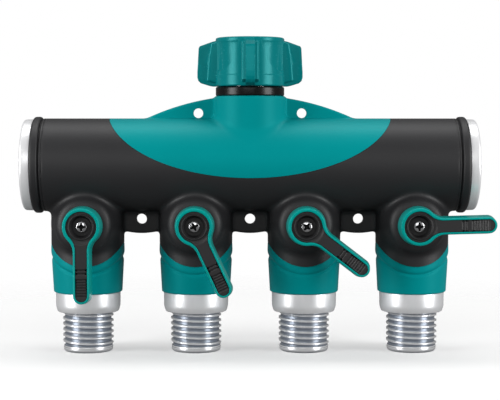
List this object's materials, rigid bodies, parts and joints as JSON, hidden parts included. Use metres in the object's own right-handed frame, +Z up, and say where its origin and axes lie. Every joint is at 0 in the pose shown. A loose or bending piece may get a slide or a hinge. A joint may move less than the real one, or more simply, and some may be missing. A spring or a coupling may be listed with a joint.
{
  "type": "hose splitter",
  "caption": "Garden hose splitter: a barrel manifold hung from a tap swivel, with ball valves turned by levers and threaded outlets below.",
  "frame": {"origin": "on the swivel's axis at its innermost thread crest, 1 mm above the inlet washer's sealing face", "axes": "+Z up the inlet towards the tap, +X along the barrel, the levers face -Y"},
  "size_m": [0.2479, 0.0637, 0.1674],
  "materials": {
    "die_cast_core": "as cast",
    "black_cover": "soft matt moulding",
    "teal_moulding": "satin moulding",
    "gloss_black": "polished",
    "plated_metal": "plated",
    "machined_aluminium": "turned, satin",
    "seal_rubber": "matt",
    "seat_nylon": "natural",
    "stem_brass": "turned"
  },
  "bodies": {
    "manifold": {"manifold_core": "die_cast_core", "body_cover": "black_cover", "inlet_saddle": "teal_moulding", "neck_ring": "gloss_black", "inlet_nipple": "plated_metal", "end_cap_left": "machined_aluminium", "end_cap_right": "machined_aluminium", "end_seal_left": "seal_rubber", "end_seal_right": "seal_rubber", "outlet_sleeve_1": "teal_moulding", "outlet_nipple_1": "machined_aluminium", "outlet_seal_1": "seal_rubber", "valve_seats_1": "seat_nylon", "stem_bush_1": "seat_nylon", "outlet_sleeve_2": "teal_moulding", "outlet_nipple_2": "machined_aluminium", "outlet_seal_2": "seal_rubber", "valve_seats_2": "seat_nylon", "stem_bush_2": "seat_nylon", "outlet_sleeve_3": "teal_moulding", "outlet_nipple_3": "machined_aluminium", "outlet_seal_3": "seal_rubber", "valve_seats_3": "seat_nylon", "stem_bush_3": "seat_nylon", "outlet_sleeve_4": "teal_moulding", "outlet_nipple_4": "machined_aluminium", "outlet_seal_4": "seal_rubber", "valve_seats_4": "seat_nylon", "stem_bush_4": "seat_nylon"},
    "swivel": {"swivel_grip": "teal_moulding", "swivel_insert": "plated_metal", "inlet_washer": "seal_rubber", "filter_screen": "plated_metal"},
    "valve_1": {"valve_ball_1": "plated_metal", "valve_stem_1": "stem_brass", "stem_seals_1": "seal_rubber", "lever_1": "teal_moulding", "lever_inlay_1": "black_cover", "lever_screw_1": "plated_metal"},
    "valve_2": {"valve_ball_2": "plated_metal", "valve_stem_2": "stem_brass", "stem_seals_2": "seal_rubber", "lever_2": "teal_moulding", "lever_inlay_2": "black_cover", "lever_screw_2": "plated_metal"},
    "valve_3": {"valve_ball_3": "plated_metal", "valve_stem_3": "stem_brass", "stem_seals_3": "seal_rubber", "lever_3": "teal_moulding", "lever_inlay_3": "black_cover", "lever_screw_3": "plated_metal"},
    "valve_4": {"valve_ball_4": "plated_metal", "valve_stem_4": "stem_brass", "stem_seals_4": "seal_rubber", "lever_4": "teal_moulding", "lever_inlay_4": "black_cover", "lever_screw_4": "plated_metal"}
  },
  "joints": [
    {"name": "inlet_swivel", "type": "hinge", "parent": "manifold", "child": "swivel", "pos_m": [0, 0, -0.01], "axis": [0, 0, 1], "continuous": true},
    {"name": "valve_1_turn", "type": "hinge", "parent": "manifold", "child": "valve_1", "pos_m": [-0.087, 0, -0.084], "axis": [0, -1, 0], "range_deg": [0, 91.5]},
    {"name": "valve_2_turn", "type": "hinge", "parent": "manifold", "child": "valve_2", "pos_m": [-0.029, 0, -0.084], "axis": [0, -1, 0], "range_deg": [-25, 66.5]},
    {"name": "valve_3_turn", "type": "hinge", "parent": "manifold", "child": "valve_3", "pos_m": [0.029, 0, -0.084], "axis": [0, -1, 0], "range_deg": [-52.5, 39]},
    {"name": "valve_4_turn", "type": "hinge", "parent": "manifold", "child": "valve_4", "pos_m": [0.087, 0, -0.084], "axis": [0, -1, 0], "range_deg": [-91.5, 0]}
  ]
}
